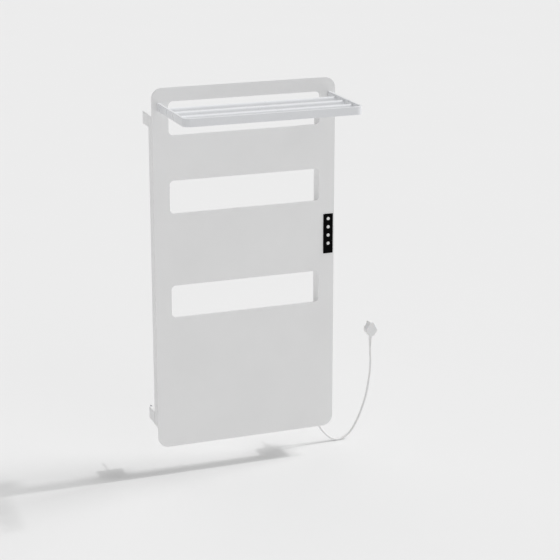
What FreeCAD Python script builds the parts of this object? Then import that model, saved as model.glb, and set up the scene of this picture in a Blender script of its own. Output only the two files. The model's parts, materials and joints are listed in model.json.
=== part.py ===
import FreeCAD, Part
import math
import os

from FreeCAD import Vector

# Wall-mounted electric towel warmer: a flat white plate with three towel slots, a shallow casing
# behind it, a rail shelf at the top, a strip of push-buttons and a mains cord with a flat plug.
#
# Millimetres. +Z is up, the plate faces -Y and the wall is the plane Y = 0. The origin is on the
# wall, at the centre of the four wall fixings.

# Plate
PLATE_WIDTH = 515.0
PLATE_HEIGHT = 1000.0
PLATE_THICKNESS = 3.0
PLATE_CORNER = 30.0
EDGE_ROUND = 0.8

# Towel slots, with the height of each one's lower edge above the plate's lower edge
SLOT_WIDTH = 424.0
SLOT_HEIGHT = 89.0
SLOT_CORNER = 12.0
LOWER_SLOT = 372.0
MIDDLE_SLOT = 661.0
UPPER_SLOT = 873.0

# Casing
CASING_DEPTH = 35.0
CASING_INSET = 0.5
CASING_BOTTOM = 57.5
CASING_TOP = 925.0
CASING_SHEET = 1.5
CASING_BEND = 4.0
OPENING_MARGIN = 15.0
OPENING_CORNER = 6.0
LINER_WALL = 1.2
LINER_FLANGE = 5.0
LINER_FLANGE_THICKNESS = 1.0

# Wall brackets
STANDOFF = 48.0
BRACKET_WIDTH = 45.0
BRACKET_HEIGHT = 34.0
BRACKET_WALL = 2.0
BRACKET_BACK = 3.0
BRACKETS_ACROSS = 469.0
BRACKET_LEVELS = (74.5, 908.0)
WALL_PLATE = 3.0
WALL_PLATE_DEPTH = 16.0
WALL_PLATE_FLANGE = 2.0
WALL_PLATE_GAP = 0.4

# Wall fixings, a little nearer the panel's corners than the brackets' centres
FIXING_ACROSS = 476.0
FIXING_UP = 838.0
FIXING_CENTRE = 493.0
FIXING_HOLE = 5.5
WALL_SCREW = 5.0
WALL_SCREW_NECK = 3.6
WALL_SCREW_LENGTH = 60.0

# Shelf
SHELF_WIDTH = 485.0
SHELF_REACH = 231.5
SHELF_TOP = 961.0
SHELF_BAR_HEIGHT = 21.5
SHELF_BAR = 6.0
SHELF_CORNER = 18.0
RAIL_DIAMETER = 12.0
RAIL_REACHES = (53.0, 110.5, 168.0)
SHELF_STRIP = 2.0

# Control strip
CONTROL_X = 239.5
FASCIA_WIDTH = 28.0
FASCIA_BOTTOM = 509.0
FASCIA_TOP = 621.0
FASCIA_THICKNESS = 1.6
WINDOW_WIDTH = 24.0
WINDOW_MARGIN = 4.0
BUTTON_DIAMETER = 9.0
BUTTON_HOLE = 9.6
BUTTON_TOP = 607.4
BUTTON_PITCH = 23.4
BUTTON_TRAVEL = 0.8
BUTTONS = 4
CONTROL_CABLE = 3.2

# Screws and posts
STUD = 3.9
POST_BORE = 4.2
POST_ACROSS_FLATS = 7.0
POST_X = 243.0
NUT_ACROSS_FLATS = 7.0

# Heating
SPREADER = 0.5
HEATER_DIAMETER = 4.0
HEATER_LEFT = -206.0
HEATER_RIGHT = 190.0
LEAD_DIAMETER = 2.5
LEAD_START = 201.0
JUMPER_X = 217.0
SUPPLY_X = 221.0

# Power box
BOX_LEFT = 217.0
BOX_RIGHT = 253.0
BOX_BOTTOM = 180.0
BOX_TOP = 310.0
BOX_DEPTH = 26.0
BOX_WALL = 1.8
BOX_EAR_X = 235.0

# Mains cord
CORD_DIAMETER = 6.4
GLAND_X = 226.0
GLAND_Y = -26.5
GLAND_SIZE = 12.0
GLAND_ACROSS_FLATS = 18.0
GLAND_FLANGE = 5.0
GLAND_THREAD = 9.0
SUPPLY_WIRE = 2.4
SUPPLY_Y = -65.5
BUSH_HEIGHT = 78.5
BUSH_BORE = 9.4
PLUG_X = 405.5
PLUG_Y = -10.0
PLUG_BOTTOM = 226.0
PLUG_DEPTH = 20.0

# Derived places
HALF_WIDTH = PLATE_WIDTH / 2
CASING_BACK = -STANDOFF
PLATE_BACK = CASING_BACK - CASING_DEPTH
PLATE_FRONT = PLATE_BACK - PLATE_THICKNESS
CASING_SIDE = HALF_WIDTH - CASING_INSET
SLOT_SIDE = SLOT_WIDTH / 2
ACROSS = Vector(1, 0, 0)
BACKWARD = Vector(0, 1, 0)
UPWARD = Vector(0, 0, 1)


def up(height):
    """Z of a height above the plate's lower edge."""
    return height - FIXING_CENTRE


# Route of the free cord: from the boot's tip down to the floor and up into the plug's sleeve
CORD_ROUTE = [
    Vector(GLAND_X, GLAND_Y, -465),
    Vector(GLAND_X, GLAND_Y, -484),
    Vector(237, -19, -508),
    Vector(258, -16, -542),
    Vector(284, -15, -567),
    Vector(313, -15, -574),
    Vector(343, -14, -558),
    Vector(366, -12, -523),
    Vector(382, -11, -487),
    Vector(394.5, -10, -449),
    Vector(401.5, -10, -411),
    Vector(406, -10, -375),
    Vector(407.5, -10, -346),
    Vector(PLUG_X, PLUG_Y, -318),
    Vector(PLUG_X, PLUG_Y, -297),
]


# ---- shapes ----------------------------------------------------------------------------------


def box(x0, x1, y0, y1, z0, z1):
    return Part.makeBox(x1 - x0, y1 - y0, z1 - z0, Vector(x0, y0, z0))


def edges_along(shape, direction):
    found = []
    for edge in shape.Edges:
        if isinstance(edge.Curve, Part.Line):
            if abs(edge.Curve.Direction.dot(direction)) > 0.999:
                found.append(edge)
    return found


def edges_in_plane(shape, y):
    """Edges that lie wholly in the plane of that Y."""
    found = []
    for edge in shape.Edges:
        bounds = edge.BoundBox
        if abs(bounds.YMin - y) < 1e-6 and abs(bounds.YMax - y) < 1e-6:
            found.append(edge)
    return found


def slab(x0, x1, y0, y1, z0, z1, corner, direction=BACKWARD):
    """A box with its four edges along one direction rounded."""
    block = box(x0, x1, y0, y1, z0, z1)
    return block.makeFillet(corner, edges_along(block, direction))


def rod(diameter, start, direction, length):
    return Part.makeCylinder(diameter / 2, length, start, direction)


def cone(diameter, end_diameter, start, direction, length):
    return Part.makeCone(diameter / 2, end_diameter / 2, length, start, direction)


def hexagon(across_flats, start, direction, length):
    """A hexagonal prism from start along direction."""
    side = ACROSS if abs(direction.dot(ACROSS)) < 0.5 else UPWARD
    other = direction.cross(side)
    radius = across_flats / math.sqrt(3)
    corners = []
    for turn in range(7):
        angle = math.radians(60 * turn)
        corners.append(start + side * (radius * math.cos(angle)) + other * (radius * math.sin(angle)))
    return Part.Face(Part.makePolygon(corners)).extrude(direction * length)


def tube(route, diameter):
    """A round solid along straight runs, joined by arcs that start 0.45 of the shorter run away."""
    edges = []
    start = route[0]
    for before, corner, after in zip(route, route[1:], route[2:]):
        into = (corner - before).normalize()
        out = (after - corner).normalize()
        half_turn = into.getAngle(out) / 2
        setback = 0.45 * min((corner - before).Length, (after - corner).Length)
        radius = setback / math.tan(half_turn)
        first = corner - into * setback
        last = corner + out * setback
        inward = (out - into).normalize()
        middle = corner + inward * (radius / math.cos(half_turn) - radius)
        edges.append(Part.LineSegment(start, first).toShape())
        edges.append(Part.Arc(first, middle, last).toShape())
        start = last
    edges.append(Part.LineSegment(start, route[-1]).toShape())
    circle = Part.Circle(route[0], route[1] - route[0], diameter / 2)
    return Part.Wire(edges).makePipeShell([Part.Wire([circle.toShape()])], True, True)


def group(solids):
    return Part.makeCompound(solids)


def union(solids):
    return solids[0].fuse(solids[1:]).removeSplitter()


# ---- places that several pieces share -----------------------------------------------------------


def bracket_centres():
    places = []
    for side in (-1, 1):
        for level in BRACKET_LEVELS:
            places.append((side * BRACKETS_ACROSS / 2, up(level)))
    return places


def fixing_places():
    places = []
    for side in (-1, 1):
        for level in (-1, 1):
            places.append((side * FIXING_ACROSS / 2, level * FIXING_UP / 2))
    return places


def bracket_screw_places():
    """X and Z of the two screws in each bracket."""
    spread = 9.0
    places = []
    for x, z in bracket_centres():
        for offset in (-spread, spread):
            places.append((math.copysign(POST_X, x), z + offset))
    return places


def casing_screw_places():
    """X and Z of the screws beside the lower and middle slots."""
    places = []
    for bottom in (LOWER_SLOT, MIDDLE_SLOT):
        for side in (-1, 1):
            places.append((side * POST_X, up(bottom + SLOT_HEIGHT / 2)))
    return places


def box_ear_places():
    return [(BOX_EAR_X, up(BOX_BOTTOM - 6)), (BOX_EAR_X, up(BOX_TOP + 6))]


def bush_place():
    """Centre of the wires' bush, in the plane of the casing's back."""
    return Vector(GLAND_X, CASING_BACK, up(BUSH_HEIGHT))


def earth_place():
    return (CONTROL_X, up(130))


def button_heights():
    return [up(BUTTON_TOP - BUTTON_PITCH * number) for number in range(BUTTONS)]


def shelf_screw_places():
    """X and Z of the two screws behind each shelf arm."""
    x = (SHELF_WIDTH - SHELF_BAR) / 2
    middle = up(SHELF_TOP - SHELF_BAR_HEIGHT / 2)
    return [(side * x, middle + offset) for side in (-1, 1) for offset in (-5, 5)]


# ---- plate and casing -----------------------------------------------------------------------------


def slot_cut(bottom):
    """A cutter for one towel slot in the plate."""
    return slab(
        -SLOT_SIDE,
        SLOT_SIDE,
        PLATE_FRONT - 1,
        PLATE_BACK + 1,
        up(bottom),
        up(bottom + SLOT_HEIGHT),
        SLOT_CORNER,
    )


def slot_opening(bottom, grow, y0, y1):
    """The casing's opening behind a slot: as wide as the slot and taller, grown on all its sides."""
    return slab(
        -SLOT_SIDE - grow,
        SLOT_SIDE + grow,
        y0,
        y1,
        up(bottom - OPENING_MARGIN) - grow,
        up(bottom + SLOT_HEIGHT + OPENING_MARGIN) + grow,
        OPENING_CORNER + grow,
    )


def front_plate():
    plate = slab(
        -HALF_WIDTH, HALF_WIDTH, PLATE_FRONT, PLATE_BACK, up(0), up(PLATE_HEIGHT), PLATE_CORNER
    )
    for bottom in (LOWER_SLOT, MIDDLE_SLOT, UPPER_SLOT):
        plate = plate.cut(slot_cut(bottom))
    plate = plate.makeFillet(EDGE_ROUND, edges_in_plane(plate, PLATE_FRONT))
    cuts = [
        slab(
            CONTROL_X - WINDOW_WIDTH / 2,
            CONTROL_X + WINDOW_WIDTH / 2,
            PLATE_FRONT - 1,
            PLATE_BACK + 1,
            up(FASCIA_BOTTOM + WINDOW_MARGIN),
            up(FASCIA_TOP - WINDOW_MARGIN),
            1.0,
        )
    ]
    for x, z in shelf_screw_places():
        cuts.append(rod(3.4, Vector(x, PLATE_FRONT - 1, z), BACKWARD, PLATE_THICKNESS + 2))
    return plate.cut(cuts)


def plate_studs():
    """Studs welded to the plate's back: long ones under nuts, short ones inside the posts."""
    studs = []
    for x, z in bracket_screw_places() + casing_screw_places():
        studs.append(rod(STUD, Vector(x, PLATE_BACK, z), BACKWARD, 8))
    for x, z in box_ear_places() + [earth_place()]:
        studs.append(rod(STUD, Vector(x, PLATE_BACK, z), BACKWARD, 7.5))
    return group(studs)


def spacer_posts():
    """Hexagonal posts that hold the casing's back away from the plate."""
    length = CASING_DEPTH - CASING_SHEET
    posts = []
    for x, z in bracket_screw_places() + casing_screw_places():
        post = hexagon(POST_ACROSS_FLATS, Vector(x, PLATE_BACK, z), BACKWARD, length)
        front_bore = rod(POST_BORE, Vector(x, PLATE_BACK - 1, z), BACKWARD, 10)
        back_bore = rod(POST_BORE, Vector(x, CASING_BACK - CASING_SHEET - 12, z), BACKWARD, 13)
        posts.append(post.cut([front_bore, back_bore]))
    return group(posts)


def casing_block(shrink, y0, y1):
    """The casing's solid outline, open at the top between its two ears, shrunk on every side."""
    side = CASING_SIDE - shrink
    outline = box(-side, side, y0, y1, up(CASING_BOTTOM) + shrink, up(CASING_TOP) - shrink)
    rear = [edge for edge in edges_along(outline, UPWARD) if edge.BoundBox.YMin > y1 - 1e-6]
    outline = outline.makeFillet(CASING_BEND - shrink, rear)
    notch_corner = OPENING_CORNER + shrink
    notch = slab(
        -SLOT_SIDE - shrink,
        SLOT_SIDE + shrink,
        y0 - 1,
        y1 + 1,
        up(UPPER_SLOT - OPENING_MARGIN) - shrink,
        up(CASING_TOP) + 40,
        notch_corner,
    )
    return outline.cut(notch)


def back_casing():
    shell = casing_block(0, PLATE_BACK, CASING_BACK)
    cavity = casing_block(CASING_SHEET, PLATE_BACK - 10, CASING_BACK - CASING_SHEET)
    shell = shell.cut(cavity)
    cuts = []
    for bottom in (LOWER_SLOT, MIDDLE_SLOT):
        cuts.append(slot_opening(bottom, LINER_WALL + 0.15, CASING_BACK - 5, CASING_BACK + 5))
    for x, z in bracket_screw_places() + casing_screw_places():
        cuts.append(rod(4.5, Vector(x, CASING_BACK - 5, z), BACKWARD, 10))
    cuts.append(rod(GLAND_SIZE + 0.2, bush_place() - BACKWARD * 5, BACKWARD, 10))
    return shell.cut(cuts)


def slot_liner(bottom):
    """The wall round one opening, with a flange that sits on the plate's back."""
    tube_wall = slot_opening(bottom, LINER_WALL, PLATE_BACK, CASING_BACK)
    flange = slot_opening(
        bottom, LINER_WALL + LINER_FLANGE, PLATE_BACK, PLATE_BACK + LINER_FLANGE_THICKNESS
    )
    return tube_wall.fuse(flange).cut(slot_opening(bottom, 0, PLATE_BACK - 1, CASING_BACK + 1))


def pan_screw(x, z, seat_y, shank, shank_length, head):
    """A pan-head screw driven forwards, with its head on the seat and a cross recess in it."""
    body = rod(shank, Vector(x, seat_y, z), -BACKWARD, shank_length)
    cap = rod(head, Vector(x, seat_y, z), BACKWARD, head * 0.32)
    crown = edges_in_plane(cap, seat_y + head * 0.32)
    cap = cap.makeFillet(head * 0.14, crown)
    arm = head * 0.3
    top = seat_y + head * 0.32
    across = box(x - arm, x + arm, top - 1, top + 1, z - 0.5, z + 0.5)
    upright = box(x - 0.5, x + 0.5, top - 1, top + 1, z - arm, z + arm)
    return union([body, cap]).cut([across, upright])


def post_screws():
    """Screws into the posts: short ones through the casing, longer ones through the brackets."""
    screws = []
    for x, z in casing_screw_places():
        screws.append(pan_screw(x, z, CASING_BACK, 3.9, 11, 8))
    for x, z in bracket_screw_places():
        screws.append(pan_screw(x, z, CASING_BACK + BRACKET_BACK, 3.9, 14, 8))
    return group(screws)


# ---- heating ----------------------------------------------------------------------------------------


def heater_rows(bottom, pitch, count):
    return [up(bottom + pitch * row) for row in range(count)]


UPPER_ROWS = heater_rows(777, 24, 4)
MIDDLE_ROWS = heater_rows(491, 28, 6)
LOWER_ROWS = heater_rows(107, 32, 8)
HEATER_Y = PLATE_BACK + SPREADER + HEATER_DIAMETER / 2


def heat_spreader(bottom, top):
    return box(-228, 200, PLATE_BACK, PLATE_BACK + SPREADER, up(bottom), up(top))


def heating_cable(rows):
    """A cable laid to and fro along the rows, with both of its ends at the right."""
    route = [Vector(LEAD_START, HEATER_Y, rows[0])]
    at_left = True
    for low, high in zip(rows, rows[1:]):
        x = HEATER_LEFT if at_left else HEATER_RIGHT
        route.append(Vector(x, HEATER_Y, low))
        route.append(Vector(x, HEATER_Y, high))
        at_left = not at_left
    route.append(Vector(LEAD_START, HEATER_Y, rows[-1]))
    return tube(route, HEATER_DIAMETER)


def insulation_pad(bottom, top):
    front = PLATE_BACK + SPREADER + HEATER_DIAMETER + 0.1
    pad = box(-228, 200, front, CASING_BACK - CASING_SHEET - 0.9, up(bottom), up(top))
    return pad.makeFillet(3.0, edges_along(pad, BACKWARD))


def lead(points):
    return tube([Vector(x, HEATER_Y, z) for x, z in points], LEAD_DIAMETER)


def heater_leads():
    """Two jumpers that join the three cables in a row, and a lead from each end to the box."""
    upper_jumper = lead(
        [
            (LEAD_START, UPPER_ROWS[0]),
            (JUMPER_X, UPPER_ROWS[0]),
            (JUMPER_X, MIDDLE_ROWS[-1]),
            (LEAD_START, MIDDLE_ROWS[-1]),
        ]
    )
    lower_jumper = lead(
        [
            (LEAD_START, MIDDLE_ROWS[0]),
            (JUMPER_X, MIDDLE_ROWS[0]),
            (JUMPER_X, LOWER_ROWS[-1]),
            (LEAD_START, LOWER_ROWS[-1]),
        ]
    )
    upper_supply = lead(
        [(LEAD_START, UPPER_ROWS[-1]), (SUPPLY_X, UPPER_ROWS[-1]), (SUPPLY_X, up(BOX_TOP))]
    )
    side_x = 209.0
    lower_supply = lead(
        [
            (LEAD_START, LOWER_ROWS[0]),
            (side_x, LOWER_ROWS[0]),
            (side_x, up(BOX_BOTTOM + 20)),
            (BOX_LEFT, up(BOX_BOTTOM + 20)),
        ]
    )
    return group([upper_jumper, lower_jumper, upper_supply, lower_supply])


# ---- control strip ------------------------------------------------------------------------------------

HOUSING_HALF = WINDOW_WIDTH / 2 - 0.2
HOUSING_BOTTOM = up(FASCIA_BOTTOM + WINDOW_MARGIN + 0.2)
HOUSING_TOP = up(FASCIA_TOP - WINDOW_MARGIN - 0.2)
HOUSING_WALL = 1.5
HOUSING_BACK = PLATE_FRONT + 22
BOARD_FRONT = PLATE_FRONT + 10
BOARD_BACK = BOARD_FRONT + 1.6
SWITCH_TIP = PLATE_FRONT + 5.9
CONNECTOR_X = CONTROL_X - 6.1
CONNECTOR_Z = up(526)
COVER_BACK = HOUSING_BACK + 1.5


def control_fascia():
    """The gloss strip on the plate's face, with a hole for each button."""
    strip = slab(
        CONTROL_X - FASCIA_WIDTH / 2,
        CONTROL_X + FASCIA_WIDTH / 2,
        PLATE_FRONT - FASCIA_THICKNESS,
        PLATE_FRONT,
        up(FASCIA_BOTTOM),
        up(FASCIA_TOP),
        1.5,
    )
    strip = strip.makeFillet(0.4, edges_in_plane(strip, PLATE_FRONT - FASCIA_THICKNESS))
    holes = []
    for z in button_heights():
        holes.append(rod(BUTTON_HOLE, Vector(CONTROL_X, PLATE_FRONT - 3, z), BACKWARD, 5))
    return strip.cut(holes)


def control_housing():
    """An open-backed box in the plate's window, with snap lugs and an ear at each end."""
    body = slab(
        CONTROL_X - HOUSING_HALF,
        CONTROL_X + HOUSING_HALF,
        PLATE_FRONT,
        HOUSING_BACK,
        HOUSING_BOTTOM,
        HOUSING_TOP,
        1.0,
    )
    cavity = box(
        CONTROL_X - HOUSING_HALF + HOUSING_WALL,
        CONTROL_X + HOUSING_HALF - HOUSING_WALL,
        PLATE_FRONT + HOUSING_WALL,
        HOUSING_BACK + 1,
        HOUSING_BOTTOM + HOUSING_WALL,
        HOUSING_TOP - HOUSING_WALL,
    )
    ears = []
    for z0, z1 in ((HOUSING_BOTTOM - 7, HOUSING_BOTTOM), (HOUSING_TOP, HOUSING_TOP + 7)):
        ears.append(box(CONTROL_X - 4, CONTROL_X + 4, PLATE_BACK, HOUSING_BACK, z0, z1))
    ledges = []
    for side in (-1, 1):
        inner = CONTROL_X + side * (HOUSING_HALF - HOUSING_WALL)
        x0, x1 = sorted((inner, inner - side * 2.5))
        for z in (HOUSING_BOTTOM + HOUSING_WALL, HOUSING_TOP - HOUSING_WALL - 5):
            ledges.append(box(x0, x1, PLATE_FRONT + HOUSING_WALL, BOARD_FRONT, z, z + 5))
    cuts = []
    for z in button_heights():
        cuts.append(rod(BUTTON_HOLE, Vector(CONTROL_X, PLATE_FRONT - 1, z), BACKWARD, 3))
    for z in control_screw_heights():
        cuts.append(rod(2.4, Vector(CONTROL_X, HOUSING_BACK - 9, z), BACKWARD, 10))
    return union([body.cut(cavity)] + ears + ledges).cut(cuts)


def control_screw_heights():
    return (HOUSING_BOTTOM - 3.5, HOUSING_TOP + 3.5)


def control_board():
    clear = 0.3
    return box(
        CONTROL_X - HOUSING_HALF + HOUSING_WALL + clear,
        CONTROL_X + HOUSING_HALF - HOUSING_WALL - clear,
        BOARD_FRONT,
        BOARD_BACK,
        HOUSING_BOTTOM + HOUSING_WALL + clear,
        HOUSING_TOP - HOUSING_WALL - clear,
    )


def key_switches():
    """A key switch on the board behind each button, with its plunger drawn pressed."""
    switches = []
    body_front = BOARD_FRONT - 3.2
    for z in button_heights():
        body = box(CONTROL_X - 3, CONTROL_X + 3, body_front, BOARD_FRONT, z - 3, z + 3)
        plunger = rod(3.2, Vector(CONTROL_X, SWITCH_TIP, z), BACKWARD, body_front - SWITCH_TIP)
        switches.append(union([body, plunger]))
    return group(switches)


def control_chips():
    """Processor, two capacitors and the cable's connector, on the board's back."""
    chip = box(CONTROL_X - 5, CONTROL_X + 5, BOARD_BACK, BOARD_BACK + 1.4, up(580), up(590))
    parts = [chip]
    for z in (up(562), up(604)):
        parts.append(rod(5, Vector(CONTROL_X, BOARD_BACK, z), BACKWARD, 7))
    parts.append(
        box(
            CONNECTOR_X - 3.4,
            CONNECTOR_X + 3.4,
            BOARD_BACK,
            BOARD_BACK + 5.4,
            CONNECTOR_Z - 4,
            CONNECTOR_Z + 4,
        )
    )
    return group(parts)


def control_cover():
    """The housing's rear lid, with two pegs that hold the board on its ledges."""
    lid = box(
        CONTROL_X - HOUSING_HALF,
        CONTROL_X + HOUSING_HALF,
        HOUSING_BACK,
        COVER_BACK,
        HOUSING_BOTTOM,
        HOUSING_TOP,
    )
    tabs = []
    for z0, z1 in ((HOUSING_BOTTOM - 7, HOUSING_BOTTOM), (HOUSING_TOP, HOUSING_TOP + 7)):
        tabs.append(box(CONTROL_X - 4, CONTROL_X + 4, HOUSING_BACK, COVER_BACK, z0, z1))
    pegs = []
    for x, z in ((CONTROL_X + 7, up(522)), (CONTROL_X, up(611.5))):
        pegs.append(rod(3, Vector(x, BOARD_BACK, z), BACKWARD, HOUSING_BACK - BOARD_BACK + 0.5))
    cuts = [rod(4.6, Vector(CONNECTOR_X, HOUSING_BACK - 1, CONNECTOR_Z), BACKWARD, 4)]
    for z in control_screw_heights():
        cuts.append(rod(2.6, Vector(CONTROL_X, HOUSING_BACK - 1, z), BACKWARD, 4))
    return union([lid] + tabs + pegs).cut(cuts)


def control_screws():
    heights = control_screw_heights()
    return group([pan_screw(CONTROL_X, z, COVER_BACK, 2.2, 8, 4.6) for z in heights])


def button(z):
    """A round cap with a retaining flange and a short stem."""
    proud = FASCIA_THICKNESS + 1.0
    flange_front = PLATE_FRONT + HOUSING_WALL + 0.1
    stem_end = SWITCH_TIP - BUTTON_TRAVEL - 0.05
    front = PLATE_FRONT - proud
    cap = rod(BUTTON_DIAMETER, Vector(CONTROL_X, front, z), BACKWARD, flange_front - front)
    cap = cap.makeFillet(0.9, edges_in_plane(cap, front))
    flange = rod(11.5, Vector(CONTROL_X, flange_front, z), BACKWARD, 1.0)
    stem = rod(3.0, Vector(CONTROL_X, flange_front, z), BACKWARD, stem_end - flange_front)
    return union([cap, flange, stem])


def control_cable():
    """From the control board's connector, out through the cover and down to the power box."""
    down_y = PLATE_FRONT + 27
    route = [
        Vector(CONNECTOR_X, BOARD_BACK + 5.4, CONNECTOR_Z),
        Vector(CONNECTOR_X, down_y, CONNECTOR_Z),
        Vector(CONNECTOR_X, down_y, up(BOX_TOP)),
    ]
    return tube(route, CONTROL_CABLE)


# ---- power box ------------------------------------------------------------------------------------------

BOX_BACK = PLATE_BACK + BOX_DEPTH
POWER_BOARD_Y = PLATE_BACK + 5
TERMINAL_Z = up(BOX_BOTTOM + 6)
LIVE_X = GLAND_X - 2.6
NEUTRAL_X = GLAND_X + 2.6


def power_box():
    body = box(BOX_LEFT, BOX_RIGHT, PLATE_BACK, BOX_BACK, up(BOX_BOTTOM), up(BOX_TOP))
    cavity = box(
        BOX_LEFT + BOX_WALL,
        BOX_RIGHT - BOX_WALL,
        PLATE_BACK + BOX_WALL,
        BOX_BACK + 1,
        up(BOX_BOTTOM) + BOX_WALL,
        up(BOX_TOP) - BOX_WALL,
    )
    pieces = [body.cut(cavity)]
    floor = PLATE_BACK + BOX_WALL
    for x in (BOX_LEFT + 6, BOX_RIGHT - 6):
        for z in (up(BOX_BOTTOM + 8), up(BOX_TOP - 8)):
            start = Vector(x, floor - 0.5, z)
            pieces.append(rod(5, start, BACKWARD, POWER_BOARD_Y - floor + 0.5))
    cuts = []
    for x, z in box_ear_places():
        pieces.append(box(x - 6, x + 6, PLATE_BACK, PLATE_BACK + 2.5, z - 7, z + 7))
        cuts.append(rod(4.2, Vector(x, PLATE_BACK - 1, z), BACKWARD, 5))
    for x in (LIVE_X, NEUTRAL_X):
        cuts.append(rod(3.0, Vector(x, SUPPLY_Y, up(BOX_BOTTOM) - 1), UPWARD, 4))
    return union(pieces).cut(cuts)


def power_box_lid():
    """A snap-on lid with a lip inside the box's walls."""
    lid = box(BOX_LEFT, BOX_RIGHT, BOX_BACK, BOX_BACK + BOX_WALL, up(BOX_BOTTOM), up(BOX_TOP))
    gap = BOX_WALL + 0.15
    lip = box(
        BOX_LEFT + gap,
        BOX_RIGHT - gap,
        BOX_BACK - 3,
        BOX_BACK + 0.5,
        up(BOX_BOTTOM) + gap,
        up(BOX_TOP) - gap,
    )
    inside = gap + 1.2
    hollow = box(
        BOX_LEFT + inside,
        BOX_RIGHT - inside,
        BOX_BACK - 4,
        BOX_BACK,
        up(BOX_BOTTOM) + inside,
        up(BOX_TOP) - inside,
    )
    return union([lid, lip.cut(hollow)])


def power_board():
    gap = BOX_WALL + 0.4
    return box(
        BOX_LEFT + gap,
        BOX_RIGHT - gap,
        POWER_BOARD_Y,
        POWER_BOARD_Y + 1.6,
        up(BOX_BOTTOM) + gap,
        up(BOX_TOP) - gap,
    )


def on_power_board(x0, x1, height, z0, z1):
    top = POWER_BOARD_Y + 1.6
    return box(x0, x1, top, top + height, up(z0), up(z1))


def transformer():
    """A small mains transformer: its moulded coil between the two cheeks of its core."""
    core = on_power_board(225, 247, 16, 216, 240)
    coil = on_power_board(227, 245, 14, 212, 244)
    return union([core, coil])


def power_components():
    """Relay, smoothing capacitor, suppression capacitor and fuse."""
    top = POWER_BOARD_Y + 1.6
    relay = on_power_board(222, 238, 15, 258, 277)
    capacitor = rod(9, Vector(245, top, up(268)), BACKWARD, 14)
    suppressor = on_power_board(222, 240, 11, 284, 290)
    fuse = rod(5.2, Vector(246, top + 2.6, up(282)), UPWARD, 18)
    return group([relay, capacitor, suppressor, fuse])


def terminal_block():
    """Two screw terminals for the mains wires, on the power board."""
    block = on_power_board(219.5, 236, 13, BOX_BOTTOM + 6, BOX_BOTTOM + 20)
    screws = []
    for x in (LIVE_X, NEUTRAL_X + 3):
        start = Vector(x + 2, POWER_BOARD_Y + 11, up(BOX_BOTTOM + 13))
        screws.append(rod(3.4, start, BACKWARD, 8))
    return block.cut(screws)


def hex_nut(x, z, seat_y):
    nut = hexagon(NUT_ACROSS_FLATS, Vector(x, seat_y, z), BACKWARD, 3.2)
    return nut.cut(rod(STUD + 0.2, Vector(x, seat_y - 1, z), BACKWARD, 6))


def stud_nuts():
    nuts = [hex_nut(x, z, PLATE_BACK + 2.5) for x, z in box_ear_places()]
    x, z = earth_place()
    nuts.append(hex_nut(x, z, PLATE_BACK + 1))
    return group(nuts)


# ---- mains cord ------------------------------------------------------------------------------------------

BOOT_TOP = up(CASING_BOTTOM) - GLAND_FLANGE
GLAND_END = up(CASING_BOTTOM) + GLAND_THREAD


def cable_gland():
    """The gland in the lower right bracket's underside, closed round the cord, and the wires' bush."""
    foot = Vector(GLAND_X, GLAND_Y, BOOT_TOP)
    flange = hexagon(GLAND_ACROSS_FLATS, foot, UPWARD, GLAND_FLANGE)
    thread = rod(GLAND_SIZE, foot, UPWARD, GLAND_FLANGE + GLAND_THREAD)
    inside = bush_place() - BACKWARD * (CASING_SHEET + 1)
    collar = rod(GLAND_SIZE + 3, inside, BACKWARD, 1)
    bush = rod(GLAND_SIZE, inside, BACKWARD, CASING_SHEET + 1 + BRACKET_BACK + 0.5)
    bore = rod(BUSH_BORE, inside - BACKWARD, BACKWARD, 10)
    return group([union([flange, thread]), union([collar, bush]).cut(bore)])


def gland_nut():
    seat = Vector(GLAND_X, GLAND_Y, up(CASING_BOTTOM) + BRACKET_WALL)
    nut = hexagon(GLAND_ACROSS_FLATS, seat, UPWARD, 4)
    return nut.cut(rod(GLAND_SIZE + 0.1, seat - UPWARD, UPWARD, 6))


def ribbed_sleeve(x, y, z_wide, z_narrow, wide, narrow, grooves):
    """A tapered rubber sleeve with shallow grooves round it."""
    length = abs(z_narrow - z_wide)
    direction = UPWARD if z_narrow > z_wide else -UPWARD
    sleeve = cone(wide, narrow, Vector(x, y, z_wide), direction, length)
    cuts = []
    for number in range(grooves):
        along = length * (0.3 + 0.55 * number / (grooves - 1))
        outer = wide + (narrow - wide) * along / length
        start = Vector(x, y, z_wide) + direction * along
        ring = rod(outer + 3, start, direction, 1.2)
        cuts.append(ring.cut(rod(outer - 1.2, start - direction, direction, 4)))
    return sleeve.cut(cuts)


def cord_boot():
    return ribbed_sleeve(GLAND_X, GLAND_Y, BOOT_TOP, CORD_ROUTE[0].z, 13, 8.4, 5)


def power_cord():
    return tube(CORD_ROUTE, CORD_DIAMETER)


def plug_sleeve():
    top = up(PLUG_BOTTOM)
    return ribbed_sleeve(PLUG_X, PLUG_Y, top, CORD_ROUTE[-1].z, 10, 7.8, 5)


def plug_body():
    """A moulded shield with a narrow top, widest below its middle."""
    front = PLUG_Y - PLUG_DEPTH / 2
    half_outline = [(7, 0), (16.5, 14), (17, 20), (5.5, 42.5)]
    right = [Vector(PLUG_X + x, front, up(PLUG_BOTTOM) + z) for x, z in half_outline]
    left = [Vector(PLUG_X - x, front, up(PLUG_BOTTOM) + z) for x, z in reversed(half_outline)]
    face = Part.Face(Part.makePolygon(right + left + [right[0]]))
    body = face.extrude(BACKWARD * PLUG_DEPTH)
    body = body.makeFillet(2.5, edges_along(body, BACKWARD))
    return body.makeFillet(2.0, edges_in_plane(body, front))


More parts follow.
